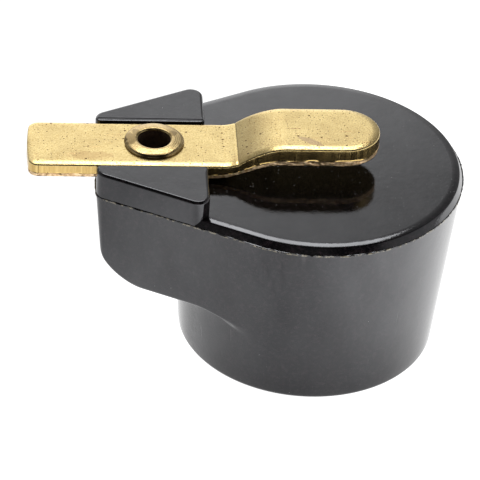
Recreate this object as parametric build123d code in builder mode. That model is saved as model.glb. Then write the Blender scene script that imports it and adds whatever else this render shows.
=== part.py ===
"""Ignition rotor arm: a moulded cap with a wing, a brass blade, an eyelet rivet and a spring clip.

Millimetres. +Z is up along the shaft axis, Z = 0 is the mouth of the shaft bore, and the blade
points along -X.
"""
import math
import os

from build123d import *

# Moulded body, outside
PARTING_Z = 20.36  # height of the parting line
TOP_Z = 21.36  # flat top of the cap
WALL_R = 15.83  # outside wall at the parting line
BASE_R = 14.1  # outside wall at the bottom edge
RIM_TAPER = 28  # lean of the rim above the parting line, degrees
RIM_RADIUS = 1.1  # rounding between the flat top and the leaning rim
FLASH_WIDTH = 0.22  # how far the parting flash stands out
FLASH_THICK = 0.25
BASE_EDGE_RADIUS = 0.6

# Wing
WING_ANGLE = 26.8  # each side of the wing to the X axis, degrees
WING_END_X = -23.8  # end wall at the parting line
WING_CORNER_RADIUS = 1.3
WING_FLOOR_Z = 9.35  # flat underside
WING_NOSE_X = -18.8  # where the rounded lower end meets the underside
WING_NOSE_Z = 12.95  # where the rounded lower end meets the end wall

# Blade land and the two ears beside it
LAND_Z = 21.76
EAR_X = -12.0  # square end of each ear
EAR_IN_Y = 4.3
EAR_TOP_Z = 23.48
EAR_CORNER_RADIUS = 1.2
EAR_INNER_RADIUS = 0.6
EAR_EDGE_RADIUS = 0.3

# Cored underside
CORE_IN_R = 9.8
CORE_OUT_R = 11.7
CORE_TOP_Z = 17.1
RIB_WIDTH = 2.0
CLIP_BOSS_WIDTH = 7.6
WEB_Z = 11.7  # seat of the rivet's lower head, in a recess under the wing
RIVET_RECESS_R = 3.0

# Shaft bore
BORE_R = 6.35
BORE_DEPTH = 12.0
END_R = 5.95  # keyed blind end
END_Z = 17.4
KEY_WIDTH = 3.0
KEY_TIP_X = -4.1

# Clip slot in the +X side of the bore
SLOT_WIDTH = 4.4
SLOT_X = 8.2
SLOT_TOP_Z = 12.8
TANG_SLOT_IN_X = 7.35
TANG_SLOT_TOP_Z = 16.5

# Brass blade
BLADE_WIDTH = 7.94
TIP_R = 31.2  # tip arc about the shaft axis
TIP_CORNER_RADIUS = 1.0
STRIP_TOP_Z = 23.36
LEAD_START_X = -10.3  # where the strip starts to curve up
CREASE_X = -8.75  # sharp valley across the strip
CREASE_Z = 23.66
LEAD_SLOPE = 0.38  # slope up to the valley
CREASE_SLOPE = 0.72  # slope straight after it
JOGGLE_MID = (-6.3, 25.07)  # point on the joggle's upper curve
PAD_START_X = -3.6  # end of the joggle's upper curve
BEND_START_X = -11.3  # start of the joggle's lower curve
BEND_END_X = -4.2
PAD_TOP_Z = 25.71
PAD_UNDER_Z = 23.56
PAD_END_X = 6.55
BLADE_EDGE_RADIUS = 0.3

# Eyelet rivet
RIVET_X = -17.6
RIVET_BARREL_R = 2.2
RIVET_HOLE_R = 1.75
RIVET_FLANGE_R = 3.3
RIVET_RIM_HEIGHT = 0.3  # upright edge of the flange
RIVET_CROWN_R = 2.3  # highest ring of the flange
RIVET_CROWN_Z = 23.93
RIVET_HEAD_R = 2.75  # lower head
RIVET_HEAD_Z = 11.15
RIVET_CLEARANCE = 0.05

# Spring clip
CLIP_THICK = 0.4
CLIP_WIDTH = 4.0
CLIP_TANG_X = 7.78
CLIP_TANG_TOP_Z = 16.2
CLIP_CREST_R = 6.2  # inside face of the bow at rest
CLIP_CREST_Z = 5.4

DRAFT = math.degrees(math.atan((WALL_R - BASE_R) / PARTING_Z))

os.makedirs("parts", exist_ok=True)


def wing_points(radius, end_x, angle=WING_ANGLE):
    """Corners of the wing's plan, tangent to a circle of the given radius."""
    slope = math.radians(angle)
    touch_x = -radius * math.sin(slope)
    touch_y = radius * math.cos(slope)
    end_y = touch_y - (touch_x - end_x) * math.tan(slope)
    return [(touch_x, touch_y), (end_x, end_y), (end_x, -end_y), (touch_x, -touch_y)]


def teardrop(offset=0.0, corner=WING_CORNER_RADIUS):
    """Plan of the cap and its wing, grown by offset."""
    with BuildSketch() as plan:
        Circle(WALL_R + offset)
        with BuildLine():
            Polyline(*wing_points(WALL_R + offset, WING_END_X - offset), close=True)
        make_face()
        ends = plan.vertices().filter_by(lambda v: v.X < WING_END_X + 1)
        fillet(ends, corner)
    return plan.sketch


def wing_side_profile():
    """Side view of the wing: end wall, rounded lower end, underside and its run-out."""
    with BuildSketch(Plane.XZ) as side:
        with BuildLine():
            left = WING_END_X - 3
            Polyline((-2, PARTING_Z + 1), (left, PARTING_Z + 1), (left, WING_NOSE_Z))
            Line((left, WING_NOSE_Z), (-23.16, WING_NOSE_Z))
            Spline(
                (-23.16, WING_NOSE_Z),
                (-22.15, 10.98),
                (WING_NOSE_X, WING_FLOOR_Z),
                tangents=((0.08, -1), (1, 0)),
            )
            Line((WING_NOSE_X, WING_FLOOR_Z), (-13.6, WING_FLOOR_Z))
            Spline(
                (-13.6, WING_FLOOR_Z),
                (-9.8, 8.45),
                (-6.7, 8.05),
                tangents=((1, 0), (1, 0)),
            )
            Polyline((-6.7, 8.05), (-2, 8.05), (-2, PARTING_Z + 1))
        make_face()
    return side.sketch


def ear_plan(side):
    """Plan of one ear: the part of the wing outside the blade slot, side is 1 or -1."""
    pts = wing_points(WALL_R, WING_END_X)
    slope = math.radians(WING_ANGLE)
    ear_y = pts[0][1] - (pts[0][0] - EAR_X) * math.tan(slope)
    with BuildSketch() as plan:
        with BuildLine():
            Polyline(
                (WING_END_X, side * EAR_IN_Y),
                (EAR_X, side * EAR_IN_Y),
                (EAR_X, side * ear_y),
                (WING_END_X, side * pts[1][1]),
                close=True,
            )
        make_face()
        outer = plan.vertices().filter_by(lambda v: abs(v.Y) > EAR_IN_Y + 0.1)
        fillet(outer, EAR_CORNER_RADIUS)
        inner = plan.vertices().filter_by(lambda v: abs(v.Y) < EAR_IN_Y + 0.1)
        fillet(inner, EAR_INNER_RADIUS)
    return plan.sketch


def blade_profile():
    """Side view of the stamping: strip, joggle and raised pad."""
    over = 1
    with BuildSketch(Plane.XZ) as side:
        with BuildLine():
            Polyline(
                (BEND_START_X, LAND_Z),
                (-TIP_R - over, LAND_Z),
                (-TIP_R - over, STRIP_TOP_Z),
                (LEAD_START_X, STRIP_TOP_Z),
            )
            Spline(
                (LEAD_START_X, STRIP_TOP_Z),
                (CREASE_X, CREASE_Z),
                tangents=((1, 0), (1, LEAD_SLOPE)),
            )
            Spline(
                (CREASE_X, CREASE_Z),
                JOGGLE_MID,
                (PAD_START_X, PAD_TOP_Z),
                tangents=((1, CREASE_SLOPE), (1, 0)),
            )
            Polyline(
                (PAD_START_X, PAD_TOP_Z),
                (PAD_END_X + over, PAD_TOP_Z),
                (PAD_END_X + over, PAD_UNDER_Z),
                (BEND_END_X, PAD_UNDER_Z),
            )
            Spline(
                (BEND_END_X, PAD_UNDER_Z),
                ((BEND_END_X + BEND_START_X) / 2, (PAD_UNDER_Z + LAND_Z) / 2),
                (BEND_START_X, LAND_Z),
                tangents=((-1, 0), (-1, 0)),
            )
        make_face()
    return side.sketch


def blade_plan():
    """Plan of the stamping: tip arc about the shaft axis, straight sides, round pad end."""
    half = BLADE_WIDTH / 2
    tip_x = -math.sqrt(TIP_R**2 - half**2)
    end_x = PAD_END_X - half
    with BuildSketch() as plan:
        with BuildLine():
            Line((tip_x, half), (end_x, half))
            ThreePointArc((end_x, half), (PAD_END_X, 0), (end_x, -half))
            Line((end_x, -half), (tip_x, -half))
            ThreePointArc((tip_x, -half), (-TIP_R, 0), (tip_x, half))
        make_face()
        corners = plan.vertices().filter_by(lambda v: v.X < -TIP_R + 1)
        fillet(corners, TIP_CORNER_RADIUS)
    return plan.sketch


# 1. Moulded body
with BuildPart() as rotor_body:
    # drafted cap wall
    with BuildSketch(Plane.XZ):
        with BuildLine():
            Polyline((0, 0), (BASE_R, 0), (WALL_R, PARTING_Z), (0, PARTING_Z), close=True)
        make_face()
    revolve(axis=Axis.Z)
    fillet(rotor_body.edges().group_by(Axis.Z)[0], BASE_EDGE_RADIUS)
    # drafted wing, cut to its side view
    with BuildPart(mode=Mode.PRIVATE) as wing:
        with BuildSketch(Plane.XY.offset(PARTING_Z)):
            add(teardrop())
        extrude(amount=-14, taper=DRAFT)
        extrude(wing_side_profile(), amount=25, both=True, mode=Mode.INTERSECT)
    add(wing.part)
    # rim above the parting line
    with BuildPart(mode=Mode.PRIVATE) as rim:
        with BuildSketch(Plane.XY.offset(PARTING_Z)):
            add(teardrop())
        extrude(amount=TOP_Z - PARTING_Z, taper=RIM_TAPER)
        fillet(rim.edges().group_by(Axis.Z)[-1], RIM_RADIUS)
    add(rim.part)
    # parting flash
    with BuildSketch(Plane.XY.offset(PARTING_Z - 0.15)):
        add(teardrop(FLASH_WIDTH))
    extrude(amount=FLASH_THICK)
    # blade land
    with BuildSketch(Plane.XY.offset(PARTING_Z)):
        add(teardrop())
        with Locations((EAR_X, 0)):
            Rectangle(60, 60, align=(Align.MIN, Align.CENTER), mode=Mode.SUBTRACT)
    extrude(amount=LAND_Z - PARTING_Z)
    # ears
    with BuildPart(mode=Mode.PRIVATE) as ears:
        with BuildSketch(Plane.XY.offset(PARTING_Z)):
            add(ear_plan(1))
            add(ear_plan(-1))
        extrude(amount=EAR_TOP_Z - PARTING_Z)
        fillet(ears.edges().group_by(Axis.Z)[-1], EAR_EDGE_RADIUS)
    add(ears.part)
    # cored ring between hub and skirt, with ribs
    with BuildSketch():
        Circle(CORE_OUT_R)
        Circle(CORE_IN_R, mode=Mode.SUBTRACT)
        Rectangle(RIB_WIDTH, 40, mode=Mode.SUBTRACT)
        Rectangle(40, RIB_WIDTH, align=(Align.MAX, Align.CENTER), mode=Mode.SUBTRACT)
        Rectangle(40, CLIP_BOSS_WIDTH, align=(Align.MIN, Align.CENTER), mode=Mode.SUBTRACT)
    extrude(amount=CORE_TOP_Z, mode=Mode.SUBTRACT)
    # recess for the rivet's lower head
    with BuildSketch(Plane.XY.offset(WEB_Z)):
        with Locations((RIVET_X, 0)):
            Circle(RIVET_RECESS_R)
    extrude(amount=-(WEB_Z - WING_FLOOR_Z + 0.1), mode=Mode.SUBTRACT)
    # shaft bore and its keyed blind end
    with BuildSketch():
        Circle(BORE_R)
    extrude(amount=BORE_DEPTH, mode=Mode.SUBTRACT)
    with BuildSketch(Plane.XY.offset(BORE_DEPTH)):
        Circle(END_R)
        with Locations((KEY_TIP_X, 0)):
            Rectangle(10, KEY_WIDTH, align=(Align.MAX, Align.CENTER), mode=Mode.SUBTRACT)
    extrude(amount=END_Z - BORE_DEPTH, mode=Mode.SUBTRACT)
    # clip slot and the narrow pocket for its tang
    with BuildSketch():
        Rectangle(SLOT_X, SLOT_WIDTH, align=(Align.MIN, Align.CENTER))
        Circle(BORE_R - 0.5, mode=Mode.SUBTRACT)
    extrude(amount=SLOT_TOP_Z, mode=Mode.SUBTRACT)
    with BuildSketch():
        with Locations((TANG_SLOT_IN_X, 0)):
            Rectangle(SLOT_X - TANG_SLOT_IN_X, SLOT_WIDTH, align=(Align.MIN, Align.CENTER))
    extrude(amount=TANG_SLOT_TOP_Z, mode=Mode.SUBTRACT)
    # rivet hole
    with BuildSketch(Plane.XY.offset(WEB_Z - 0.5)):
        with Locations((RIVET_X, 0)):
            Circle(RIVET_BARREL_R + RIVET_CLEARANCE)
    extrude(amount=LAND_Z - WEB_Z + 1, mode=Mode.SUBTRACT)

# 2. Brass blade
with BuildPart() as contact_blade:
    with BuildSketch(Plane.XY.offset(LAND_Z - 1)):
        add(blade_plan())
    extrude(amount=PAD_TOP_Z - LAND_Z + 2)
    extrude(blade_profile(), amount=10, both=True, mode=Mode.INTERSECT)
    tops = contact_blade.faces().filter_by(Axis.Z).filter_by(lambda f: f.normal_at().Z > 0.99)
    rims = tops.edges().filter_by(lambda e: not e.is_interior and abs(e.center().Y) > 1)
    fillet(rims.filter_by(lambda e: abs(e.center().Y) > 3.8), BLADE_EDGE_RADIUS)
    with BuildSketch(Plane.XY.offset(LAND_Z - 1)):
        with Locations((RIVET_X, 0)):
            Circle(RIVET_BARREL_R + RIVET_CLEARANCE)
    extrude(amount=4, mode=Mode.SUBTRACT)

# 3. Eyelet rivet
with BuildPart() as eyelet_rivet:
    with BuildSketch(Plane.XZ):
        with BuildLine():
            Line((RIVET_HOLE_R, RIVET_HEAD_Z + 0.3), (RIVET_HOLE_R, RIVET_CROWN_Z - 0.2))
            Spline(
                (RIVET_HOLE_R, RIVET_CROWN_Z - 0.2),
                (RIVET_HOLE_R + 0.15, RIVET_CROWN_Z - 0.07),
                (RIVET_CROWN_R, RIVET_CROWN_Z),
                (RIVET_CROWN_R + 0.7, RIVET_CROWN_Z - 0.12),
                (RIVET_FLANGE_R, STRIP_TOP_Z + RIVET_RIM_HEIGHT),
                tangents=((0, 1), (0.2, -1)),
            )
            Polyline(
                (RIVET_FLANGE_R, STRIP_TOP_Z + RIVET_RIM_HEIGHT),
                (RIVET_FLANGE_R, STRIP_TOP_Z),
                (RIVET_BARREL_R, STRIP_TOP_Z),
                (RIVET_BARREL_R, WEB_Z),
                (RIVET_HEAD_R, WEB_Z),
                (RIVET_HEAD_R, RIVET_HEAD_Z + 0.15),
                (RIVET_HEAD_R - 0.15, RIVET_HEAD_Z),
                (RIVET_HOLE_R + 0.3, RIVET_HEAD_Z),
                (RIVET_HOLE_R, RIVET_HEAD_Z + 0.3),
            )
        make_face()
    revolve(axis=Axis.Z)
eyelet_rivet.part = eyelet_rivet.part.moved(Location((RIVET_X, 0, 0)))

# 4. Spring clip
with BuildPart() as spring_clip:
    with BuildSketch(Plane.XZ):
        with BuildLine() as mid_line:
            Line((CLIP_TANG_X, CLIP_TANG_TOP_Z), (CLIP_TANG_X, SLOT_TOP_Z))
            Spline(
                (CLIP_TANG_X, SLOT_TOP_Z),
                (CLIP_CREST_R + CLIP_THICK / 2, CLIP_CREST_Z),
                (7.0, 2.2),
                tangents=((0, -1), (0.35, -1)),
            )
        trace(mid_line.edges(), line_width=CLIP_THICK)
    extrude(amount=CLIP_WIDTH / 2, both=True)

PIECES = {
    "rotor_body": rotor_body,
    "contact_blade": contact_blade,
    "eyelet_rivet": eyelet_rivet,
    "spring_clip": spring_clip,
}
for node, piece in PIECES.items():
    piece.part.label = node
    export_step(piece.part, f"parts/{node}.step")
    box = piece.part.bounding_box()
    print(node, len(piece.part.solids()), round(piece.part.volume, 1), box.min, box.max)
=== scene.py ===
"""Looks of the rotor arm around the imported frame.

Metres in Blender; the dimensions and meshes below are in millimetres until they are built.
"""
import math

import bmesh
import bpy
from mathutils import Matrix, Vector, noise


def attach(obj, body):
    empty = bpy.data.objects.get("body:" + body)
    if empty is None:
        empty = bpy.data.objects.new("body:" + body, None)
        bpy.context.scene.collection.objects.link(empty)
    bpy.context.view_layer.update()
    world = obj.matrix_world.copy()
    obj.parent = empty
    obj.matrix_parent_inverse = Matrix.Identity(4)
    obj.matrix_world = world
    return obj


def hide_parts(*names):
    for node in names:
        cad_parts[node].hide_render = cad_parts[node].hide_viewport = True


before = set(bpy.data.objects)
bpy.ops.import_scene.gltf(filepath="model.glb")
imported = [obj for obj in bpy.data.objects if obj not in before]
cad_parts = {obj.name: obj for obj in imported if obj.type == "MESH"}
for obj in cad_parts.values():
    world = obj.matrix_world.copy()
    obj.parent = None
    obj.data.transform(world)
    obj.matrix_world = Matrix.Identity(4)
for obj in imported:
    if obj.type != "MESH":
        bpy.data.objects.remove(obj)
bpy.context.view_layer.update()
MM = 0.001

# ---------------------------------------------------------------- dimensions
PARTING_Z = 20.36
TOP_Z = 21.36
WALL_R = 15.83
BASE_R = 14.1
DRAFT = (WALL_R - BASE_R) / PARTING_Z
WING_ANGLE = math.radians(26.8)
WING_END_X = -23.8
WING_CORNER_R = 1.3
WING_FLOOR_Z = 9.35
NOSE_X = -18.8
NOSE_TIP_X = -23.16
NOSE_Z = 12.95
LAND_Z = 21.76
EAR_X = -12.0
EAR_IN_Y = 4.2
EAR_TOP_Z = 23.48
EAR_ROUND_R = 0.36
EAR_INNER_SHARE = 0.25  # how much of that round the edges beside the blade have
BLADE_HALF = 3.97
TIP_R = 31.2
TIP_CORNER_R = 1.0
STRIP_TOP_Z = 23.36
PAD_TOP_Z = 25.71
PAD_UNDER_Z = 23.56
PAD_START_X = -3.6
PAD_END_X = 6.55
LEAD_X = -10.3
LEAD_SLOPE = 0.38  # at the crease, on the strip's side
CREASE_X = -8.75
CREASE_Z = 23.66
CREASE_SLOPE = 0.72  # at the crease, on the pad's side
CREASE_GROOVE = 0.06
BEND_X = -11.3
BEND_END_X = -4.2
RIVET_X = -17.6
RIVET_Y = 0.4  # the eyelet sits a little behind the centre line
RIVET_HOLE_R = 2.25  # in the wing and in the blade
BARREL_R = 2.2
BARREL_BORE_R = 1.75
WEB_Z = 11.7  # seat of the eyelet's lower head, in a recess under the wing
RECESS_R = 3.0

# ---------------------------------------------------------------- underside and bore
BASE_ROUND_R = 0.55
CORE_IN_R = 9.8
CORE_OUT_R = 11.7
CORE_TOP_Z = 17.1
RIB_HALF = 1.0
CLIP_BOSS_HALF = 3.8
BORE_R = 6.35
BORE_MOUTH_R = 6.75
BORE_DEPTH = 12.0
END_R = 5.95  # keyed blind end
END_Z = 17.4
KEY_HALF = 1.5
KEY_TIP_X = -4.1
SLOT_HALF = 2.2
SLOT_X = 8.2
SLOT_TOP_Z = 12.8
TANG_X = 7.35
TANG_TOP_Z = 16.5


# ---------------------------------------------------------------- mesh helpers
def smoothstep(t):
    t = min(max(t, 0.0), 1.0)
    return t * t * (3 - 2 * t)


def lerp(a, b, t):
    return a + (b - a) * t


def hermite(p0, p1, m0, m1, t):
    """Cubic from p0 to p1 with end slopes m0 and m1."""
    a = 2 * t**3 - 3 * t**2 + 1
    b = t**3 - 2 * t**2 + t
    return a * p0 + b * m0 + (3 * t**2 - 2 * t**3) * p1 + (t**3 - t**2) * m1


def mesh_object(name, verts, faces, angle=35, looks=None):
    """A closed mesh from millimetre points; looks maps face numbers to material indices."""
    mesh = bpy.data.meshes.new(name)
    mesh.from_pydata([tuple(c * MM for c in v) for v in verts], [], faces)
    for number, index in (looks or {}).items():
        mesh.polygons[number].material_index = index
    bm = bmesh.new()
    bm.from_mesh(mesh)
    bmesh.ops.remove_doubles(bm, verts=bm.verts, dist=1e-7)
    bmesh.ops.recalc_face_normals(bm, faces=bm.faces)
    bm.to_mesh(mesh)
    bm.free()
    obj = bpy.data.objects.new(name, mesh)
    bpy.context.scene.collection.objects.link(obj)
    smooth(obj, angle)
    return obj


def smooth(obj, angle=35):
    obj.data.shade_smooth()
    obj.data.set_sharp_from_angle(angle=math.radians(angle))


def boolean(obj, tool, operation):
    """obj joined with or cut by tool, which is then removed."""
    mod = obj.modifiers.new("cut", "BOOLEAN")
    mod.operation = operation
    mod.solver = "EXACT"
    mod.object = tool
    graph = bpy.context.evaluated_depsgraph_get()
    mesh = bpy.data.meshes.new_from_object(obj.evaluated_get(graph))
    obj.modifiers.clear()
    old = obj.data
    obj.data = mesh
    bpy.data.meshes.remove(old)
    bpy.data.objects.remove(tool)


def grid_faces(rows, cols, closed=True):
    """Quads of a grid whose vertex index is row * cols + col."""
    faces = []
    for r in range(rows - 1):
        for c in range(cols if closed else cols - 1):
            d = (c + 1) % cols
            faces.append((r * cols + c, r * cols + d, (r + 1) * cols + d, (r + 1) * cols + c))
    return faces


def rings_object(name, rings, angle=35):
    """A closed skin through rings of equal length, capped at both ends."""
    cols = len(rings[0])
    verts = [p for ring in rings for p in ring]
    faces = grid_faces(len(rings), cols)
    faces.append(tuple(range(cols)))
    faces.append(tuple(range((len(rings) - 1) * cols, len(rings) * cols)))
    return mesh_object(name, verts, faces, angle)


def prism(name, outline, z0, z1):
    return rings_object(name, [[(x, y, z) for x, y in outline] for z in (z0, z1)])


def rounded(points, radius, steps=5):
    """A closed polygon with its corners rounded; radius is one number or one per corner."""
    out = []
    count = len(points)
    for i, p in enumerate(points):
        r = radius[i] if isinstance(radius, (list, tuple)) else radius
        p = Vector(p)
        a = (Vector(points[i - 1]) - p).normalized()
        b = (Vector(points[(i + 1) % count]) - p).normalized()
        half = a.angle(b) / 2
        centre = p + (a + b).normalized() * (r / math.sin(half))
        start = p + a * (r / math.tan(half))
        end = p + b * (r / math.tan(half))
        s, e = start - centre, end - centre
        sweep = s.angle(e)
        turn = 1 if s.x * e.y - s.y * e.x > 0 else -1
        for k in range(steps + 1):
            t = turn * sweep * k / steps
            out.append(tuple(centre + Matrix.Rotation(t, 2) @ s))
    return out


def offset_outline(outline, amount):
    """The closed outline moved along its own normals; it runs anticlockwise."""
    count = len(outline)
    moved = []
    for i in range(count):
        ahead = Vector(outline[(i + 1) % count]) - Vector(outline[i - 1])
        n = Vector((ahead.y, -ahead.x)).normalized()
        moved.append((outline[i][0] + n.x * amount, outline[i][1] + n.y * amount))
    return moved


# ---------------------------------------------------------------- moulded body
def wing_corner_y(radius, end_x):
    touch_x = -radius * math.sin(WING_ANGLE)
    touch_y = radius * math.cos(WING_ANGLE)
    return touch_y - (touch_x - end_x) * math.tan(WING_ANGLE)


def outline_rays():
    """Samples round the plan: point, outward normal, and the matching angle on the round skirt."""
    quarter = math.pi / 2 + WING_ANGLE
    upper = []
    arc = 132
    for k in range(arc + 1):
        a = quarter * k / arc
        d = Vector((math.cos(a), math.sin(a)))
        upper.append((d * WALL_R, d, a))
    touch = upper[-1][0]
    corner = Vector((WING_END_X, wing_corner_y(WALL_R, WING_END_X)))
    along = (corner - touch).normalized()
    side_n = Vector((-math.sin(WING_ANGLE), math.cos(WING_ANGLE)))
    turn = math.pi / 2 - WING_ANGLE
    cut = WING_CORNER_R * math.tan(turn / 2)
    side_len = (corner - touch).length - cut
    total = side_len + WING_CORNER_R * turn + corner.y - cut
    span = math.pi / 2 - WING_ANGLE
    first = total / WALL_R / span

    def angle_at(length):
        t = length / total
        return quarter + span * (first * t - (first - 1) * t * t)

    sides = 60
    for k in range(1, sides + 1):
        length = side_len * (k / sides) ** 1.15
        upper.append((touch + along * length, side_n, angle_at(length)))
    centre = corner - along * cut - side_n * WING_CORNER_R
    for k in range(1, 13):
        t = turn * k / 12
        a = quarter + t
        d = Vector((math.cos(a), math.sin(a)))
        upper.append((centre + d * WING_CORNER_R, d, angle_at(side_len + WING_CORNER_R * t)))
    flat = corner.y - cut
    for k in range(1, 21):
        y = flat * (1 - k / 20)
        length = side_len + WING_CORNER_R * turn + flat * k / 20
        upper.append((Vector((WING_END_X, y)), Vector((-1, 0)), angle_at(length)))
    lower = [(Vector((p.x, -p.y)), Vector((n.x, -n.y)), 2 * math.pi - a) for p, n, a in upper[1:-1]]
    return upper + lower[::-1]


def drafted(z):
    return -DRAFT * (PARTING_Z - z) if z < PARTING_Z else 0.0


def underside(x):
    """Height of the wing's underside: rounded lower end, flat floor, run-out on the skirt."""
    if x < NOSE_X:
        u = min((NOSE_X - x) / (NOSE_X - NOSE_TIP_X), 1.0)
        return NOSE_Z - (NOSE_Z - WING_FLOOR_Z) * (1 - u**1.6) ** (1 / 1.6)
    run = smoothstep((x + 13.8) / 8.0)
    return WING_FLOOR_Z - 1.3 * run


def bezier(a, b, c, t):
    return a.lerp(b, t).lerp(b.lerp(c, t), t)


def ray_profile(ray):
    """Points of one ray from the top of the wall down to the bottom edge."""
    p, n, angle = ray
    skirt_dir = Vector((math.cos(angle), math.sin(angle)))

    def wall(z):
        q = p + n * drafted(z)
        return Vector((q.x, q.y, z))

    def skirt(z):
        q = skirt_dir * (WALL_R + drafted(z))
        return Vector((q.x, q.y, z))

    z = WING_FLOOR_Z
    for _ in range(30):
        z = 0.5 * z + 0.5 * underside(wall(z).x)
    edge = wall(z)
    gap = (wall(9).xy - skirt(9).xy).length
    extra = max(0.0, 1 - gap)
    root_z = underside(skirt(9).x) - extra
    root = skirt(root_z)
    r_edge = min(0.45, max(0.35 * gap, 0.25))
    r_root = max(min(1.7, 0.55 * gap), 0.35)
    ease = 1.0 + 0.9 * smoothstep((NOSE_X - edge.x) / 3)

    def floor(t):
        q = edge.xy.lerp(root.xy, t)
        return Vector((q.x, q.y, underside(q.x) - extra * t))

    span = max((edge.xy - root.xy).length, 1e-6)
    if gap < 0.6:
        t_edge, t_root = 0.25, 0.7
    else:
        t_edge = min(r_edge / span, 0.3)
        t_root = 1 - min(r_root / span, 0.55)
    points = []
    high, low = PARTING_Z - 0.12, edge.z + r_edge
    for k in range(7):
        points.append(wall(lerp(high, low, (k / 6) ** 0.9)))
    for k in range(1, 6):
        points.append(bezier(wall(low), edge, floor(t_edge), k / 5))
    steps = 12
    for k in range(1, steps + 1):
        t = k / steps
        points.append(floor(lerp(t_edge, t_root, t**ease)))
    below = skirt(root.z - r_root)
    for k in range(1, 7):
        points.append(bezier(floor(t_root), root, below, k / 6))
    for k in range(1, 7):
        points.append(skirt(lerp(below.z, BASE_ROUND_R, k / 6)))
    for k in range(1, 5):
        a = math.pi / 2 * k / 4
        q = skirt_dir * (BASE_R + DRAFT * BASE_ROUND_R - BASE_ROUND_R * (1 - math.cos(a)))
        points.append(Vector((q.x, q.y, BASE_ROUND_R * (1 - math.sin(a)))))
    return points


def flash_width(p):
    """The parting flash comes and goes along the line, with chips broken out of it."""
    v = Vector((p.x, p.y, 0))
    slow = noise.noise(v * 0.33)
    fast = noise.noise(v * 1.9 + Vector((7, 3, 0)))
    chip = noise.noise(v * 6.5 + Vector((1, 9, 0)))
    return min(max(0.12 + 0.07 * slow + 0.06 * fast + 0.10 * chip, 0.02), 0.21)


# Length, lean at the start, lean at the end (degrees) and steps of each run down the rim.
RIM_RUNS = ((0.80, 2, 13, 8), (0.20, 13, 62, 6), (0.72, 62, 63, 3))
FLASH_RINGS = ((0.75, 0.12), (1.0, 0.05), (0.85, -0.06))  # share of the flash's width, and rise


def rim_profile():
    """Reach and depth down the rim: gentle roll, tighter turn, then a steep flank to the flash."""
    points = [(0.0, 0.0)]
    reach = depth = 0.0
    for length, start, end, steps in RIM_RUNS:
        for k in range(steps):
            lean = math.radians(lerp(start, end, (k + 0.5) / steps))
            reach += length / steps * math.cos(lean)
            depth += length / steps * math.sin(lean)
            points.append((reach, depth))
    return points


def make_shell():
    rays = outline_rays()
    rings = []
    profile = rim_profile()
    inset = profile[-1][0]
    for reach, depth in profile:
        out = reach - inset
        rings.append([(p.x + n.x * out, p.y + n.y * out, TOP_Z - depth) for p, n, _ in rays])
    for part, rise in FLASH_RINGS:
        ring = []
        for p, n, _ in rays:
            w = flash_width(p) * part
            lift = rise + 0.03 * noise.noise(Vector((p.x, p.y, 5)) * 0.8)
            ring.append((p.x + n.x * w, p.y + n.y * w, PARTING_Z + lift))
        rings.append(ring)
    profiles = [ray_profile(r) for r in rays]
    for k in range(len(profiles[0])):
        rings.append([tuple(pr[k]) for pr in profiles])
    return rings_object("rotor_body_moulding", rings, 38)


def ear_outline(side):
    """Plan of one ear, anticlockwise, on the side given by 1 or -1."""
    far = wing_corner_y(WALL_R, EAR_X)
    near = wing_corner_y(WALL_R, WING_END_X)
    pts = [(WING_END_X, EAR_IN_Y), (EAR_X, EAR_IN_Y), (EAR_X, far), (WING_END_X, near)]
    out = rounded(pts, [0.6, 0.55, 1.3, 1.3], 9)
    if side < 0:
        out = [(x, -y) for x, y in out][::-1]
    return out


def densify(outline, step=0.7):
    out = []
    for i, a in enumerate(outline):
        b = outline[(i + 1) % len(outline)]
        n = max(1, int(math.dist(a, b) / step))
        for k in range(n):
            out.append((lerp(a[0], b[0], k / n), lerp(a[1], b[1], k / n)))
    return out


def make_ear(side):
    """An ear with upright walls and a small round under its flat top."""
    outline = densify(ear_outline(side), 0.5)
    shares = [lerp(EAR_INNER_SHARE, 1.0, smoothstep((abs(y) - EAR_IN_Y) / 1.2)) for x, y in outline]

    def eased(inset, drop):
        """The outline moved in and down, by each point's share of the round."""
        moved = offset_outline(outline, -inset)
        return [
            (lerp(x0, x1, share), lerp(y0, y1, share), EAR_TOP_Z - drop * share)
            for (x0, y0), (x1, y1), share in zip(outline, moved, shares)
        ]

    rings = [[(x, y, PARTING_Z - 0.1) for x, y in outline]]
    for k in range(8):
        a = math.radians(12 * k)
        rings.append(eased(EAR_ROUND_R * (1 - math.cos(a)), EAR_ROUND_R * (1 - math.sin(a))))
    top = eased(EAR_ROUND_R, 0.0)
    worn = [side > 0 and y < EAR_IN_Y + 0.4 for x, y, z in top]
    rings.append([(x, y, z - (0.035 if w else 0.0)) for (x, y, z), w in zip(top, worn)])
    top = eased(EAR_ROUND_R + 0.05, 0.0)
    for inward in (0.18, 0.24):
        rings.append([(x, y + (inward if w else inward / 9), z) for (x, y, z), w in zip(top, worn)])
    return rings_object("ear", rings, 40)


def circle(radius, count=96, cx=0.0, cy=0.0):
    angles = [2 * math.pi * k / count for k in range(count)]
    return [(cx + radius * math.cos(a), cy + radius * math.sin(a)) for a in angles]


def core_sector(r0, r1, start, end, half0, half1):
    """Outline of a cored ring sector whose ends are parallel to ribs of these half widths."""
    out = []
    steps = 20
    for r, ks in ((r1, range(steps + 1)), (r0, range(steps, -1, -1))):
        a0 = start + math.asin(half0 / r)
        a1 = end - math.asin(half1 / r)
        for k in ks:
            a = lerp(a0, a1, k / steps)
            out.append((r * math.cos(a), r * math.sin(a)))
    return out


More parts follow.
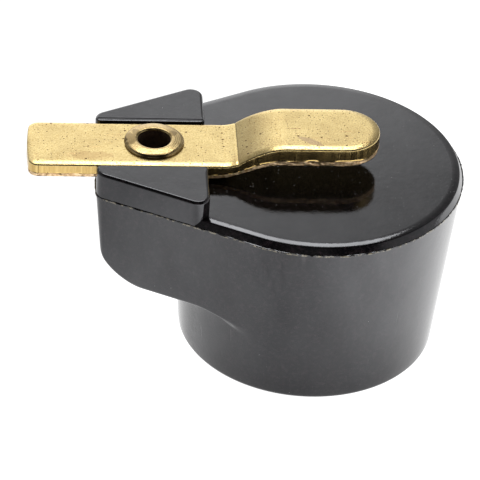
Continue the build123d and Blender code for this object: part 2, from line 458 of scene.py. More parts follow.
def cut_underside(body):
    quarter = math.pi / 2
    boss, rib = CLIP_BOSS_HALF, RIB_HALF
    for start, half0, half1 in ((0, boss, rib), (1, rib, rib), (2, rib, rib), (3, rib, boss)):
        sector = core_sector(
            CORE_IN_R, CORE_OUT_R, start * quarter, (start + 1) * quarter, half0, half1
        )
        boolean(body, prism("core", sector, -1, CORE_TOP_Z), "DIFFERENCE")
    recess = circle(RECESS_R, 64, RIVET_X, RIVET_Y)
    boolean(body, prism("recess", recess, 8.0, WEB_Z), "DIFFERENCE")
    levels = ((BORE_MOUTH_R, -0.1), (BORE_R, 0.3), (BORE_R, BORE_DEPTH))
    bore = rings_object("bore", [[(x, y, z) for x, y in circle(r)] for r, z in levels])
    boolean(body, bore, "DIFFERENCE")
    end = []
    a0 = math.pi - math.asin(KEY_HALF / END_R)
    for k in range(81):
        a = lerp(-a0, a0, k / 80)
        end.append((END_R * math.cos(a), END_R * math.sin(a)))
    end += [(KEY_TIP_X, KEY_HALF), (KEY_TIP_X, -KEY_HALF)]
    boolean(body, prism("blind_end", end, BORE_DEPTH - 0.1, END_Z), "DIFFERENCE")
    for name, x, low, high in (
        ("slot", 5.0, -1, SLOT_TOP_Z),
        ("tang_slot", TANG_X, BORE_DEPTH, TANG_TOP_Z),
    ):
        box = [(x, -SLOT_HALF), (SLOT_X, -SLOT_HALF), (SLOT_X, SLOT_HALF), (x, SLOT_HALF)]
        boolean(body, prism(name, box, low, high), "DIFFERENCE")


def make_body():
    body = make_shell()
    land = [(-23.6, -4.8), (EAR_X, -4.8), (EAR_X, 4.8), (-23.6, 4.8)]
    boolean(body, prism("land", land, 20.5, LAND_Z), "UNION")
    for side in (1, -1):
        boolean(body, make_ear(side), "UNION")
    cut_underside(body)
    hole = circle(RIVET_HOLE_R, 64, RIVET_X, RIVET_Y)
    boolean(body, prism("rivet_hole", hole, 11.0, 23.0), "DIFFERENCE")
    smooth(body, 32)
    return body


# ---------------------------------------------------------------- brass blade
def blade_top(x):
    groove = CREASE_GROOVE * max(0.0, 1 - abs(x - CREASE_X) / 0.09)
    if x <= LEAD_X:
        return STRIP_TOP_Z
    if x <= CREASE_X:
        t = (x - LEAD_X) / (CREASE_X - LEAD_X)
        return hermite(STRIP_TOP_Z, CREASE_Z, 0.0, LEAD_SLOPE * (CREASE_X - LEAD_X), t) - groove
    if x >= PAD_START_X:
        return PAD_TOP_Z
    span = PAD_START_X - CREASE_X
    return hermite(CREASE_Z, PAD_TOP_Z, CREASE_SLOPE * span, 0.0, (x - CREASE_X) / span) - groove


def blade_under(x):
    t = min(max((x - BEND_X) / (BEND_END_X - BEND_X), 0.0), 1.0)
    return hermite(LAND_Z, PAD_UNDER_Z, 0.0, 0.0, t)


def blade_columns(half, count=26):
    """Places across the width, closer together at the edges."""
    return [half * math.sin(math.pi / 2 * (2 * k / count - 1)) for k in range(count + 1)]


def blade_stations():
    marks = []
    x = 1.2 - TIP_R
    end = PAD_END_X - BLADE_HALF
    while x < end - 0.1:
        marks.append(x)
        x += 0.03 if abs(x - CREASE_X) < 0.15 else 0.2
    return marks


def blade_grid(inset):
    """Rows along the blade of points across it, inset from the outline."""
    half = BLADE_HALF - inset
    ys = blade_columns(half)
    corner = max(TIP_CORNER_R - inset, 0.08)
    rows = []
    tip = []
    for y in ys:
        x = -math.sqrt((TIP_R - inset) ** 2 - y * y)
        over = max(0.0, abs(y) - (half - corner))
        if over > 0:
            x += corner - math.sqrt(max(corner**2 - over**2, 0.0))
        tip.append((x, y))
    rows.append(tip)
    first = 1.2 - TIP_R
    for t in (0.3, 0.65):
        rows.append([(lerp(x, first, t), y) for x, y in tip])
    for x in blade_stations():
        rows.append([(x, y) for y in ys])
    centre = PAD_END_X - BLADE_HALF
    for t in (0.0, 0.2, 0.4, 0.55, 0.7, 0.82, 0.92, 1.0):
        rows.append([(centre + t * math.sqrt(max(half**2 - y * y, 0.0)), y) for y in ys])
    return rows


def border(rows):
    """Grid indices round the border, anticlockwise seen from above."""
    nr, nc = len(rows), len(rows[0])
    loop = [(r, 0) for r in range(nr)]
    loop += [(nr - 1, c) for c in range(1, nc)]
    loop += [(r, nc - 1) for r in range(nr - 2, -1, -1)]
    loop += [(0, c) for c in range(nc - 2, 0, -1)]
    return loop


EDGE_WALL = 0.02  # inset of the burnished side
EDGE_TURN_R = 0.16
LEDGE_ROW = 5  # rows of the sheared side above its torn ledge
SIDE_ROWS = 14


def roll_share(x, y):
    """Share of the edge roll: all in front and round the pad, less along the strip's back."""
    back = lerp(0.4, 0.95, smoothstep((x + 8.5) / 4))
    return lerp(back, 1.0, smoothstep(0.5 - y / BLADE_HALF))


def edge_profile():
    """Inset and depth over the rolled top edge, down to the upright side."""
    run = [(0.0, 0.0)]
    along = depth = 0.0
    for length, start, end, steps in ((0.30, 0, 6, 4), (0.55, 6, 15, 7)):
        for k in range(steps):
            lean = math.radians(lerp(start, end, (k + 0.5) / steps))
            along += length / steps * math.cos(lean)
            depth += length / steps * math.sin(lean)
            run.append((along, depth))
    lean = math.radians(15)
    roll_end = EDGE_WALL + EDGE_TURN_R * (1 - math.sin(lean))
    points = [(roll_end + along - a, d) for a, d in run]
    for k in range(1, 8):
        a = lerp(lean, math.pi / 2, k / 7)
        inset = roll_end - EDGE_TURN_R * (math.sin(a) - math.sin(lean))
        points.append((inset, depth + EDGE_TURN_R * (math.cos(lean) - math.cos(a))))
    return points


def side_row(x, y, k):
    """Inset and depth share of row k down the sheared side: burnished, torn ledge, fracture."""
    ledge = (
        0.69
        + 0.09 * noise.noise(Vector((x * 0.45, y * 0.45, 2)))
        + 0.03 * noise.noise(Vector((x * 4, y * 4, 7)))
    )
    if k < LEDGE_ROW:
        return EDGE_WALL, ledge * (k + 1) / LEDGE_ROW
    step = min(max(0.55 + 1.5 * noise.noise(Vector((x * 0.9, y * 0.9, 5))), 0.0), 1.0)
    if k == LEDGE_ROW:
        return EDGE_WALL * (1 - step), ledge + 0.01
    t = lerp(ledge + 0.01, 1.0, (k - LEDGE_ROW) / (SIDE_ROWS - LEDGE_ROW))
    torn = noise.noise(Vector((x * 3.1, y * 3.1, t * 4)))
    torn += 0.8 * noise.noise(Vector((x * 9, y * 9, t * 12)))
    return min(max(0.02, 0.03 + 0.06 * step + 0.10 * torn), 0.2), t


def make_blade():
    edge = edge_profile()
    rows = blade_grid(edge[0][0])
    under_rows = blade_grid(0.07)
    nr, nc = len(rows), len(rows[0])
    verts = [(x, y, blade_top(x)) for row in rows for x, y in row]
    faces = grid_faces(nr, nc, closed=False)
    loop = border(rows)
    levels = []
    sharp = blade_grid(EDGE_WALL)
    for inset, depth in edge[1:]:
        rolled = blade_grid(inset)
        level = []
        for r, c in loop:
            (x0, y0), (x1, y1) = sharp[r][c], rolled[r][c]
            share = roll_share(x0, y0)
            x, y = lerp(x0, x1, share), lerp(y0, y1, share)
            level.append((x, y, blade_top(x) - depth * share))
        levels.append(level)
    top_levels = len(levels)
    outer, inner = blade_grid(0.0), blade_grid(0.2)
    low_depth = edge[-1][1]
    for k in range(SIDE_ROWS):
        level = []
        for r, c in loop:
            (x0, y0), (x1, y1) = outer[r][c], inner[r][c]
            inset, t = side_row(x0, y0, k)
            x, y = lerp(x0, x1, inset / 0.2), lerp(y0, y1, inset / 0.2)
            high = blade_top(x0) - low_depth * roll_share(x0, y0)
            level.append((x, y, lerp(high, blade_under(x0), t)))
        levels.append(level)
    foot = [under_rows[r][c] for r, c in loop]
    levels.append([(x, y, blade_under(x)) for x, y in foot])
    previous = [r * nc + c for r, c in loop]
    looks = {}
    for number, level in enumerate(levels):
        start = len(verts)
        verts += level
        current = list(range(start, start + len(level)))
        n = len(current)
        for i in range(n):
            j = (i + 1) % n
            if number >= top_levels:
                looks[len(faces)] = 1 if number < top_levels + LEDGE_ROW else 2
            faces.append((previous[i], current[i], current[j], previous[j]))
        previous = current
    place = dict(zip(loop, previous))
    for r in range(nr):
        for c in range(nc):
            if (r, c) not in place:
                x, y = under_rows[r][c]
                place[(r, c)] = len(verts)
                verts.append((x, y, blade_under(x)))
    for r in range(nr - 1):
        for c in range(nc - 1):
            corners = ((r, c), (r, c + 1), (r + 1, c + 1), (r + 1, c))
            faces.append(tuple(place[corner] for corner in corners))
    blade = mesh_object("contact_blade_stamping", verts, faces, 50, looks)
    hole = circle(RIVET_HOLE_R, 64, RIVET_X, RIVET_Y)
    boolean(blade, prism("hole", hole, 21.0, 25.0), "DIFFERENCE")
    smooth(blade, 50)
    return blade


# ---------------------------------------------------------------- rivet
def rivet_profile():
    """Radius and height round the eyelet's section, from the bore's foot up, over and down."""
    flange = [
        (BARREL_BORE_R, 0.3), (1.755, 0.38), (1.78, 0.44), (1.83, 0.49), (1.9, 0.525),
        (1.98, 0.546), (2.07, 0.556), (2.18, 0.548), (2.32, 0.53), (2.46, 0.509), (2.6, 0.487),
        (2.74, 0.464), (2.88, 0.438), (2.99, 0.41), (3.08, 0.365), (3.15, 0.3), (3.2, 0.22),
        (3.23, 0.12), (3.23, 0.06), (3.2, 0.0), (2.6, 0.0), (BARREL_R, 0.0),
    ]
    barrel = [(BARREL_BORE_R, z) for z in (11.45, 13.0, 16.0, 19.0, 21.5, 22.8, 23.2)]
    head = [
        (BARREL_R, 21.0), (BARREL_R, 16.0), (BARREL_R, WEB_Z), (2.72, WEB_Z), (2.75, 11.6),
        (2.75, 11.35), (2.7, 11.22), (2.6, 11.16), (2.3, 11.15), (2.1, 11.16), (1.95, 11.2),
        (1.82, 11.3),
    ]
    return barrel + [(r, STRIP_TOP_Z + rise) for r, rise in flange] + head, len(barrel)


NICK_ANGLE = 184  # degrees round the flange
FLANGE_EDGE_R = 3.2


def make_rivet():
    profile, barrel_rows = rivet_profile()
    count = 144
    verts = []
    for r, z in profile:
        for k in range(count):
            a = 2 * math.pi * k / count
            d = Vector((math.cos(a), math.sin(a), 0))
            wobble = lift = 0.0
            if z > STRIP_TOP_Z - 0.01 and r > 2.6:
                wobble = 0.035 * noise.noise(d * 1.7 + Vector((0, 0, z)))
                notch = math.exp(-(((math.degrees(a) - NICK_ANGLE) / 3.5) ** 2))
                wobble -= 0.14 * notch * smoothstep((r - 2.8) / 0.3)
                if r < FLANGE_EDGE_R:
                    lift = 0.022 * noise.noise(d * 2.3 + Vector((3, 1, r)))
                    lift += 0.008 * noise.noise(d * 9 + Vector((0, 4, r * 4)))
            if z < 11.68:
                wobble = 0.02 * noise.noise(d * 2.5 + Vector((4, 0, z)))
            verts.append((RIVET_X + (r + wobble) * d.x, RIVET_Y + (r + wobble) * d.y, z + lift))
    rows = len(profile)
    faces = grid_faces(rows, count)
    for k in range(count):
        j = (k + 1) % count
        faces.append(((rows - 1) * count + k, (rows - 1) * count + j, j, k))
    inside = list(range(barrel_rows * count)) + list(range(len(faces) - count, len(faces)))
    return mesh_object("eyelet_rivet_turned", verts, faces, 55, dict.fromkeys(inside, 1))


# ---------------------------------------------------------------- spring clip
def make_clip():
    half_t, half_w = 0.2, 2.0
    path = []
    for k in range(9):
        path.append((7.78, lerp(16.2, 12.8, k / 8)))
    for k in range(1, 17):
        t = k / 16
        path.append((hermite(7.78, 6.4, 0.0, 0.0, t), hermite(12.8, 5.4, -9.0, -7.0, t)))
    for k in range(1, 9):
        t = k / 8
        path.append((hermite(6.4, 7.0, 0.0, 1.1, t), hermite(5.4, 2.2, -3.4, -3.1, t)))
    rings = []
    for i, (x, z) in enumerate(path):
        x0, z0 = path[max(i - 1, 0)]
        x1, z1 = path[min(i + 1, len(path) - 1)]
        t = Vector((x1 - x0, z1 - z0)).normalized()
        n = Vector((-t.y, t.x))
        ease = min(i, len(path) - 1 - i)
        w = half_w - (0.3 if ease == 0 else 0.08 if ease == 1 else 0.0)
        ring = []
        section = (
            (-w, -0.1), (-w + 0.1, -half_t), (w - 0.1, -half_t), (w, -0.1),
            (w, 0.1), (w - 0.1, half_t), (-w + 0.1, half_t), (-w, 0.1),
        )
        for u, v in section:
            ring.append((x + n.x * v, u, z + n.y * v))
        rings.append(ring)
    return rings_object("spring_clip_leaf", rings, 40)


# ---------------------------------------------------------------- materials
def new_material(name):
    mat = bpy.data.materials.new(name)
    mat.use_nodes = True
    nodes = mat.node_tree.nodes
    return mat, nodes, mat.node_tree.links, nodes["Principled BSDF"]


def node(nodes, kind, **values):
    n = nodes.new(kind)
    for key, value in values.items():
        if key in n.inputs:
            n.inputs[key].default_value = value
        else:
            setattr(n, key, value)
    return n


def ramp(nodes, stops):
    n = nodes.new("ShaderNodeValToRGB")
    elements = n.color_ramp.elements
    elements.remove(elements[1])
    elements[0].position, elements[0].color = stops[0]
    for place, colour in stops[1:]:
        elements.new(place).color = colour
    return n


def grey(v):
    return (v, v, v, 1)


def coords(nodes, links, scale=(1, 1, 1), shift=(0, 0, 0)):
    """Object coordinates moved by shift millimetres and then scaled."""
    tex = nodes.new("ShaderNodeTexCoord")
    mapping = node(nodes, "ShaderNodeMapping")
    mapping.inputs["Location"].default_value = [s * c * MM for s, c in zip(scale, shift)]
    mapping.inputs["Scale"].default_value = scale
    links.new(tex.outputs["Object"], mapping.inputs["Vector"])
    return mapping.outputs["Vector"]


def fractal(nodes, links, vector, scale, detail=4, stops=None):
    """Noise, passed through a ramp when stops are given."""
    tex = node(nodes, "ShaderNodeTexNoise", Scale=scale, Detail=detail, Roughness=0.6)
    links.new(vector, tex.inputs["Vector"])
    return shaped(nodes, links, tex.outputs["Fac"], stops) if stops else tex.outputs["Fac"]


def shaped(nodes, links, value, stops):
    n = ramp(nodes, [(p, grey(c) if isinstance(c, (int, float)) else c) for p, c in stops])
    links.new(value, n.inputs["Fac"])
    return n.outputs["Color"]


def maths(nodes, links, operation, a, b, c=None):
    n = node(nodes, "ShaderNodeMath", operation=operation)
    for socket, value in zip(n.inputs, (a, b, c)):
        if isinstance(value, (int, float)):
            socket.default_value = value
        elif value is not None:
            links.new(value, socket)
    return n.outputs[0]


def blend(nodes, links, amount, a, b):
    """Colour a turning into colour b."""
    n = node(nodes, "ShaderNodeMix", data_type="RGBA")
    links.new(amount, n.inputs["Factor"])
    for socket, value in ((n.inputs[6], a), (n.inputs[7], b)):
        if isinstance(value, tuple):
            socket.default_value = (*value, 1)
        else:
            links.new(value, socket)
    return n.outputs[2]


def spots(nodes, links, vector, scale, size, share, flat=True):
    """Scattered round spots, size of a cell at most, in about this share of the cells."""
    tex = node(nodes, "ShaderNodeTexVoronoi", Scale=scale, Randomness=1.0)
    tex.voronoi_dimensions = "2D" if flat else "3D"
    links.new(vector, tex.inputs["Vector"])
    split = nodes.new("ShaderNodeSeparateColor")
    links.new(tex.outputs["Color"], split.inputs[0])
    chosen = maths(nodes, links, "LESS_THAN", split.outputs[0], share)
    reach = maths(nodes, links, "MULTIPLY_ADD", split.outputs[1], size * 0.8, size * 0.2)
    inside = maths(nodes, links, "SUBTRACT", reach, tex.outputs["Distance"])
    soft = maths(nodes, links, "MULTIPLY", inside, 4 / size)
    clamped = node(nodes, "ShaderNodeClamp")
    links.new(soft, clamped.inputs[0])
    return maths(nodes, links, "MULTIPLY", clamped.outputs[0], chosen)


def patch(nodes, links, centre, size, wobble=0.0, turn=0.0):
    """A soft patch: 1 inside an ellipsoid of these half sizes (mm) about centre, 0 outside."""
    tex = nodes.new("ShaderNodeTexCoord")
    mapping = node(nodes, "ShaderNodeMapping")
    mapping.vector_type = "TEXTURE"
    mapping.inputs["Location"].default_value = [c * MM for c in centre]
    mapping.inputs["Rotation"].default_value = (0, 0, math.radians(turn))
    mapping.inputs["Scale"].default_value = [c * MM for c in size]
    links.new(tex.outputs["Object"], mapping.inputs["Vector"])
    length = node(nodes, "ShaderNodeVectorMath", operation="LENGTH")
    links.new(mapping.outputs["Vector"], length.inputs[0])
    value = length.outputs["Value"]
    if wobble:
        rough = fractal(nodes, links, coords(nodes, links), 1800, 4)
        value = maths(nodes, links, "MULTIPLY_ADD", rough, wobble, value)
        value = maths(nodes, links, "SUBTRACT", value, wobble / 2)
    return shaped(nodes, links, value, [(0.8, 1), (1.0, 0)])


def bump(nodes, links, bsdf, height, strength, distance):
    n = node(nodes, "ShaderNodeBump", Strength=strength, Distance=distance)
    links.new(height, n.inputs["Height"])
    links.new(n.outputs["Normal"], bsdf.inputs["Normal"])


def phenolic():
    mat, nodes, links, bsdf = new_material("phenolic_black")
    bsdf.inputs["IOR"].default_value = 1.6
    bsdf.inputs["Specular Tint"].default_value = (0.94, 0.955, 1.0, 1)
    still = coords(nodes, links)
    upright = coords(nodes, links, (1, 1, 0.3))
    smudge = fractal(nodes, links, upright, 260, 6)
    tint = shaped(
        nodes, links, smudge,
        [(0.35, (0.0022, 0.0022, 0.0030, 1)), (0.75, (0.0085, 0.0070, 0.0070, 1))],
    )
    fine = fractal(nodes, links, still, 2400, 6, [(0.48, 0), (0.72, 1)])
    tint = blend(nodes, links, fine, tint, (0.026, 0.018, 0.021))
    # pale resin chips along the parting flash
    split = nodes.new("ShaderNodeSeparateXYZ")
    links.new(still, split.inputs[0])
    above = maths(nodes, links, "SUBTRACT", split.outputs["Z"], PARTING_Z * MM)
    away = maths(nodes, links, "ABSOLUTE", above, 0)
    line = maths(nodes, links, "LESS_THAN", away, 0.00013)
    chips = fractal(nodes, links, still, 2300, 5, [(0.48, 0), (0.60, 1)])
    chipped = maths(nodes, links, "MULTIPLY", line, chips)
    colour = blend(nodes, links, chipped, tint, (0.24, 0.21, 0.15))
    # a few pale crumbs left on the top
    crumbs = patch(nodes, links, (-7.3, -4.5, TOP_Z), (0.35, 0.55, 0.5), 0.9)
    crumbs = maths(nodes, links, "MULTIPLY", crumbs, spots(nodes, links, still, 3600, 0.40, 0.5))
    dust = spots(nodes, links, still, 1150, 0.06, 0.12, flat=False)
    crumbs = maths(nodes, links, "MAXIMUM", crumbs, dust)
    links.new(blend(nodes, links, crumbs, colour, (0.45, 0.45, 0.45)), bsdf.inputs["Base Color"])
    # handling marks dull the reflection in soft upright smears
    shifted = coords(nodes, links, (1, 1, 0.5), (3, 2, 1))
    smear = fractal(nodes, links, shifted, 330, 6, [(0.34, 0.54), (0.70, 0.45)])
    marks = patch(nodes, links, (-5.0, -14.9, 16.8), (3.2, 3.0, 2.6), 0.5)
    stretched = coords(nodes, links, (1, 1, 0.22), (0, 5, 0))
    streaks = fractal(nodes, links, stretched, 1500, 3, [(0.45, 0), (0.6, 1)])
    rubbed = maths(nodes, links, "MULTIPLY", streaks, marks)
    shine = maths(nodes, links, "MULTIPLY_ADD", rubbed, -0.05, smear)
    # painted shade: the skirt's reflection is weakened on the wing side, below the wing
    under_wing_shade = patch(nodes, links, (-14.0, -2.0, 6.0), (4.0, 6.0, 9.0), 0.8)
    shine = maths(nodes, links, "MULTIPLY_ADD", under_wing_shade, -0.17, shine)
    # painted shade: the skirt's reflection is weaker towards its foot, where the floor beside the
    # base lies in the arm's shade
    height = maths(nodes, links, "MULTIPLY", split.outputs["Z"], 100.0)
    foot = shaped(nodes, links, height, [(0.05, 0.70), (0.35, 0.88), (0.75, 1.0)])
    links.new(maths(nodes, links, "MULTIPLY", shine, foot), bsdf.inputs["Specular IOR Level"])
    rough = fractal(nodes, links, upright, 320, 5, [(0.3, 0.045), (0.75, 0.11)])
    links.new(rough, bsdf.inputs["Roughness"])
    peel = fractal(nodes, links, still, 1300, 5)
    pits = spots(nodes, links, still, 1400, 0.13, 0.22)
    cluster = patch(nodes, links, (-11.0, -9.2, TOP_Z), (1.1, 1.5, 0.5), 0.8)
    crowded = spots(nodes, links, still, 2600, 0.30, 0.45)
    pits = maths(nodes, links, "MAXIMUM", pits, maths(nodes, links, "MULTIPLY", cluster, crowded))
    grain = fractal(nodes, links, still, 9000, 2)
    height = maths(nodes, links, "MULTIPLY_ADD", pits, -1.4, peel)
    height = maths(nodes, links, "MULTIPLY_ADD", grain, 0.25, height)
    bump(nodes, links, bsdf, height, 0.30, 0.00003)
    return mat


def brass_face():
    """The blade's rolled and tarnished faces."""
    mat, nodes, links, bsdf = new_material("brass_face")
    bsdf.inputs["Metallic"].default_value = 1.0
    still = coords(nodes, links)
    tint = fractal(
        nodes, links, still, 300, 6,
        [(0.34, (0.53, 0.405, 0.185, 1)), (0.62, (0.645, 0.51, 0.24, 1))],
    )
    speck = fractal(
        nodes, links, still, 7200, 3,
        [(0.36, (0.74, 0.68, 0.54, 1)), (0.52, (1, 1, 1, 1))],
    )
    mixed = node(nodes, "ShaderNodeMix", data_type="RGBA", blend_type="MULTIPLY")
    mixed.inputs["Factor"].default_value = 1.0
    links.new(tint, mixed.inputs[6])
    links.new(speck, mixed.inputs[7])
    # rolling scratches along the strip, only in places
    rolled = coords(nodes, links, (0.035, 1, 1))
    lines = fractal(nodes, links, rolled, 5200, 3, [(0.60, 0), (0.68, 1)])
    where = fractal(nodes, links, still, 240, 2, [(0.46, 0), (0.56, 1)])
    dragged = patch(nodes, links, (-23.7, -1.5, STRIP_TOP_Z), (2.3, 0.8, 2.0), 0.8)
    where = maths(nodes, links, "MAXIMUM", where, dragged)
    scratched = maths(nodes, links, "MULTIPLY", lines, where)
    colour = blend(nodes, links, scratched, mixed.outputs[2], (0.36, 0.24, 0.10))
    # brown tarnish near the front edge of the tip, and a dull scuff on the pad
    tarnish = patch(nodes, links, (-24.4, -2.2, STRIP_TOP_Z), (2.7, 0.8, 2.0), 1.6)
    tarnish = maths(nodes, links, "MULTIPLY", tarnish, 0.55)
    colour = blend(nodes, links, tarnish, colour, (0.42, 0.28, 0.12))
    scuff = patch(nodes, links, (-1.0, -2.5, PAD_TOP_Z), (1.8, 0.48, 1.0), 1.1, -34)
    scuff = maths(nodes, links, "MULTIPLY", scuff, 0.75)
    colour = blend(nodes, links, scuff, colour, (0.36, 0.26, 0.15))
    fine = spots(nodes, links, still, 2300, 0.20, 0.50)
    coarse = spots(nodes, links, still, 760, 0.13, 0.30)
    pits = maths(nodes, links, "MAXIMUM", fine, coarse)
    stained = maths(nodes, links, "MULTIPLY", pits, 0.85)
    links.new(blend(nodes, links, stained, colour, (0.12, 0.065, 0.02)), bsdf.inputs["Base Color"])
    rough = fractal(nodes, links, still, 700, 5, [(0.3, 0.19), (0.75, 0.30)])
    links.new(maths(nodes, links, "MULTIPLY_ADD", pits, 0.3, rough), bsdf.inputs["Roughness"])
    height = maths(nodes, links, "MULTIPLY_ADD", pits, -1.0, fractal(nodes, links, still, 5200, 4))
    height = maths(nodes, links, "MULTIPLY_ADD", scratched, -0.4, height)
    bump(nodes, links, bsdf, height, 0.34, 0.00003)
    return mat


def brass_edge():
    """The blade's sheared sides: upright tool marks, darker and redder than the faces."""
    mat, nodes, links, bsdf = new_material("brass_edge")
    bsdf.inputs["Metallic"].default_value = 1.0
    still = coords(nodes, links)
    drawn = coords(nodes, links, (1, 1, 0.06))
    tint = fractal(
        nodes, links, drawn, 3600, 4,
        [(0.35, (0.52, 0.355, 0.13, 1)), (0.62, (0.66, 0.48, 0.19, 1))],
    )
    pits = spots(nodes, links, still, 1100, 0.17, 0.6, flat=False)
    stained = maths(nodes, links, "MULTIPLY", pits, 0.85)
    links.new(blend(nodes, links, stained, tint, (0.10, 0.05, 0.015)), bsdf.inputs["Base Color"])
    rough = fractal(nodes, links, drawn, 2400, 4, [(0.3, 0.16), (0.75, 0.30)])
    links.new(rough, bsdf.inputs["Roughness"])
    height = maths(nodes, links, "MULTIPLY_ADD", pits, -0.8, fractal(nodes, links, drawn, 5200, 4))
    bump(nodes, links, bsdf, height, 0.18, 0.00003)
    return mat


def brass_fracture():
    """The torn lower part of the sheared sides."""
    mat, nodes, links, bsdf = new_material("brass_fracture")
    bsdf.inputs["Metallic"].default_value = 1.0
    still = coords(nodes, links)
    tint = fractal(
        nodes, links, still, 2600, 5,
        [(0.36, (0.42, 0.25, 0.12, 1)), (0.62, (0.90, 0.68, 0.42, 1))],
    )
    links.new(tint, bsdf.inputs["Base Color"])
    rough = fractal(nodes, links, still, 3500, 4, [(0.3, 0.30), (0.75, 0.50)])
    links.new(rough, bsdf.inputs["Roughness"])
    bump(nodes, links, bsdf, fractal(nodes, links, still, 5200, 4), 0.7, 0.00005)
    return mat


# Darker patches on the flange, painted shade on its tip side and dull patches beside the hole:
# place from its centre, and half size.
SHADE_AND_DULL_PLACES = (
    ((-2.6, -0.1), (0.75, 1.3, 0.6)),
    ((-1.9, 1.1), (0.5, 0.7, 0.6)),
    ((2.0, 1.0), (0.5, 0.6, 0.6)),
)


def rivet_brass_turned():
    mat, nodes, links, bsdf = new_material("brass_rivet")
    bsdf.inputs["Metallic"].default_value = 1.0
    centred = coords(nodes, links, (1, 1, 1), (-RIVET_X, -RIVET_Y, 0))
    blotch = fractal(
        nodes, links, centred, 900, 5,
        [(0.36, (0.33, 0.235, 0.10, 1)), (0.64, (0.52, 0.40, 0.19, 1))],
    )
    turned = node(nodes, "ShaderNodeTexWave", Scale=1500, Distortion=1.2, Detail=3)
    turned.wave_type = "RINGS"
    turned.rings_direction = "Z"
    links.new(centred, turned.inputs["Vector"])
    lines = shaped(nodes, links, turned.outputs["Fac"], [(0.1, 0.5), (0.5, 0)])
    colour = blend(nodes, links, lines, blotch, (0.28, 0.17, 0.08))
    # the turned flange is painted darker: painted shade on its tip side, and dull beside the hole
    for place, size in SHADE_AND_DULL_PLACES:
        centre = (RIVET_X + place[0], RIVET_Y + place[1], STRIP_TOP_Z + 0.45)
        shade_and_dull = maths(nodes, links, "MULTIPLY", patch(nodes, links, centre, size, 0.8), 0.8)
        colour = blend(nodes, links, shade_and_dull, colour, (0.20, 0.14, 0.06))
    pits = spots(nodes, links, centred, 2200, 0.14, 0.35)
    stained = maths(nodes, links, "MULTIPLY", pits, 0.7)
    links.new(blend(nodes, links, stained, colour, (0.14, 0.07, 0.03)), bsdf.inputs["Base Color"])
    rough = fractal(nodes, links, centred, 1500, 4, [(0.3, 0.18), (0.75, 0.32)])
    links.new(rough, bsdf.inputs["Roughness"])
    height = maths(nodes, links, "MULTIPLY_ADD", pits, -0.8, turned.outputs["Fac"])
    bump(nodes, links, bsdf, height, 0.25, 0.00002)
    return mat


def rivet_bore():
    """Oxidised inside of the eyelet's barrel."""
    mat, nodes, links, bsdf = new_material("brass_rivet_bore")
    still = coords(nodes, links)
    bsdf.inputs["Metallic"].default_value = 0.6
    tint = fractal(
        nodes, links, still, 1500, 5,
        [(0.35, (0.09, 0.055, 0.045, 1)), (0.7, (0.20, 0.13, 0.08, 1))],
    )
    links.new(tint, bsdf.inputs["Base Color"])
    rough = fractal(nodes, links, still, 2500, 4, [(0.3, 0.5), (0.7, 0.75)])
    links.new(rough, bsdf.inputs["Roughness"])
    bump(nodes, links, bsdf, fractal(nodes, links, still, 4000, 4), 0.3, 0.00002)
    return mat


def spring_steel():
    mat, nodes, links, bsdf = new_material("spring_steel_strip")
    bsdf.inputs["Metallic"].default_value = 1.0
    still = coords(nodes, links)
    drawn = coords(nodes, links, (1, 1, 0.05))
    grain = fractal(
        nodes, links, drawn, 2600, 4,
        [(0.3, (0.28, 0.28, 0.29, 1)), (0.7, (0.5, 0.5, 0.5, 1))],
    )
    rust = spots(nodes, links, still, 900, 0.3, 0.3, flat=False)
    stained = maths(nodes, links, "MULTIPLY", rust, 0.6)
    links.new(blend(nodes, links, stained, grain, (0.18, 0.09, 0.05)), bsdf.inputs["Base Color"])
    rough = fractal(nodes, links, drawn, 2600, 4, [(0.3, 0.25), (0.7, 0.42)])
    links.new(rough, bsdf.inputs["Roughness"])
    bump(nodes, links, bsdf, fractal(nodes, links, drawn, 5000, 4), 0.25, 0.00002)
    return mat


def dress(obj, mats, body, slot, *nodes_replaced):
    """Materials by face number, then the body it rides on and the nodes it stands for."""
    keep = [p.material_index for p in obj.data.polygons]
    obj.data.materials.clear()
    for mat in mats:
        obj.data.materials.append(mat)
    for face, index in zip(obj.data.polygons, keep):
        face.material_index = min(index, len(mats) - 1)
    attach(obj, body)
    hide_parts(*nodes_replaced)


# ---------------------------------------------------------------- stage
FRAME_PIXELS = 480


def add_camera():
    azimuth, elevation, roll = math.radians(-5.08), math.radians(36.1), math.radians(3.683)
    distance = 350.0
    pixels_per_mm = 9.133
    aim = Vector((-7.739, 0, PARTING_Z - 9.545))
    back = Vector((
        math.sin(azimuth) * math.cos(elevation),
        -math.cos(azimuth) * math.cos(elevation),
        math.sin(elevation),
    ))
    right = Vector((math.cos(azimuth), math.sin(azimuth), 0))
    up = back.cross(right)
    c, s = math.cos(roll), math.sin(roll)
    tilted_right = right * c + up * s
    tilted_up = up * c - right * s
    data = bpy.data.cameras.new("camera")
    data.sensor_width = 36
    data.lens = pixels_per_mm * distance * data.sensor_width / FRAME_PIXELS
    data.clip_start = 0.01
    cam = bpy.data.objects.new("camera", data)
    place = Matrix((tilted_right, tilted_up, back)).transposed().to_4x4()
    place.translation = (aim + back * distance) * MM
    cam.matrix_world = place
    bpy.context.scene.collection.objects.link(cam)
    bpy.context.scene.camera = cam


def area_light(name, place, target, size, size_y, power):
    data = bpy.data.lights.new(name, "AREA")
    data.shape = "RECTANGLE"
    data.size, data.size_y = size, size_y
    data.energy = power
    lamp = bpy.data.objects.new(name, data)
    lamp.location = place
    lamp.rotation_euler = (Vector(target) - Vector(place)).to_track_quat("-Z", "Y").to_euler()
    bpy.context.scene.collection.objects.link(lamp)


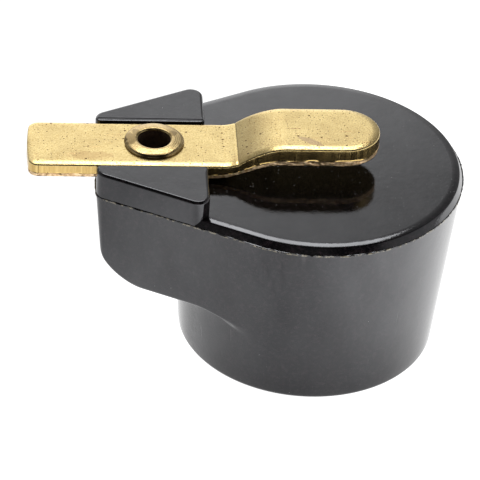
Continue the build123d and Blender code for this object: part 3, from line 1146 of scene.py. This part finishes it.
def add_stage():
    size = 3.0
    verts = [(-size, -size, 0), (size, -size, 0), (size, size, 0), (-size, size, 0)]
    mesh = bpy.data.meshes.new("floor")
    mesh.from_pydata(verts, [], [(0, 1, 2, 3)])
    floor = bpy.data.objects.new("floor", mesh)
    floor.location.z = -0.00002
    bpy.context.scene.collection.objects.link(floor)
    mat, nodes, links, bsdf = new_material("floor_white")
    bsdf.inputs["Base Color"].default_value = (0.35, 0.35, 0.35, 1)
    bsdf.inputs["Roughness"].default_value = 0.9
    # brighter towards the right and the front, as if a second lamp stood there
    split = nodes.new("ShaderNodeSeparateXYZ")
    links.new(coords(nodes, links), split.inputs[0])
    across = maths(nodes, links, "MULTIPLY_ADD", split.outputs["X"], 10.0, 0.5)
    across = maths(nodes, links, "MULTIPLY_ADD", split.outputs["Y"], -6.0, across)
    # the glow dips near the middle: painted shade where the floor beside the arm is mirrored in its
    # walls
    glow = shaped(
        nodes, links, across,
        [(0.0, 0.50), (0.2, 0.53), (0.31, 0.76), (0.45, 0.66), (0.55, 0.59), (0.66, 0.70),
         (0.78, 1.05), (0.90, 1.2)],
    )
    links.new(glow, bsdf.inputs["Emission Color"])
    bsdf.inputs["Emission Strength"].default_value = 1.8
    mesh.materials.append(mat)
    world = bpy.data.worlds.new("studio")
    bpy.context.scene.world = world
    world.use_nodes = True
    nodes, links = world.node_tree.nodes, world.node_tree.links
    background = nodes["Background"]
    tex = nodes.new("ShaderNodeTexCoord")
    split = nodes.new("ShaderNodeSeparateXYZ")
    links.new(tex.outputs["Generated"], split.inputs[0])
    front = maths(nodes, links, "MULTIPLY_ADD", split.outputs["Y"], 0.5, 0.5)
    behind = shaped(
        nodes, links, front,
        [(0.0, 0.045), (0.2, 0.03), (0.36, 0.012), (0.42, 0.012), (0.60, 0.30), (0.74, 1.0)],
    )
    across = maths(nodes, links, "MULTIPLY_ADD", split.outputs["X"], 0.5, 0.5)
    middle = shaped(
        nodes, links, across,
        [(0.0, 0.20), (0.25, 0.29), (0.295, 0.38), (0.345, 0.72), (0.40, 0.90), (0.46, 1.0),
         (0.525, 1.0), (0.545, 0.93), (0.565, 0.80), (0.60, 0.42), (0.65, 0.24), (1.0, 0.16)],
    )
    low = shaped(
        nodes, links, split.outputs["Z"],
        [(0.0, 0.60), (0.17, 0.82), (0.42, 0.76), (0.5, 0.65), (0.556, 0.58), (0.572, 0.52),
         (0.584, 0.45), (0.70, 0.39)],
    )
    panel = maths(nodes, links, "MULTIPLY", behind, middle)
    panel = maths(nodes, links, "MULTIPLY", panel, low)
    # paler walls off to both sides
    sides = shaped(
        nodes, links, across,
        [(0.0, 0.15), (0.1, 0.11), (0.19, 0.0), (0.81, 0.0), (0.9, 0.17), (1.0, 0.24)],
    )
    links.new(maths(nodes, links, "MAXIMUM", panel, sides), background.inputs["Color"])
    background.inputs["Strength"].default_value = 2.8
    area_light("overhead", (0.0, 0.33, 0.52), (0, 0, 0.02), 0.30, 0.16, 0.82)


add_camera()
add_stage()
dress(make_body(), [phenolic()], "arm", "moulding", "rotor_body")
dress(
    make_blade(), [brass_face(), brass_edge(), brass_fracture()],
    "arm", "blade_brass", "contact_blade",
)
dress(make_rivet(), [rivet_brass_turned(), rivet_bore()], "arm", "rivet_brass", "eyelet_rivet")
dress(make_clip(), [spring_steel()], "clip", "spring_steel", "spring_clip")

bpy.context.scene.view_settings.view_transform = "Standard"
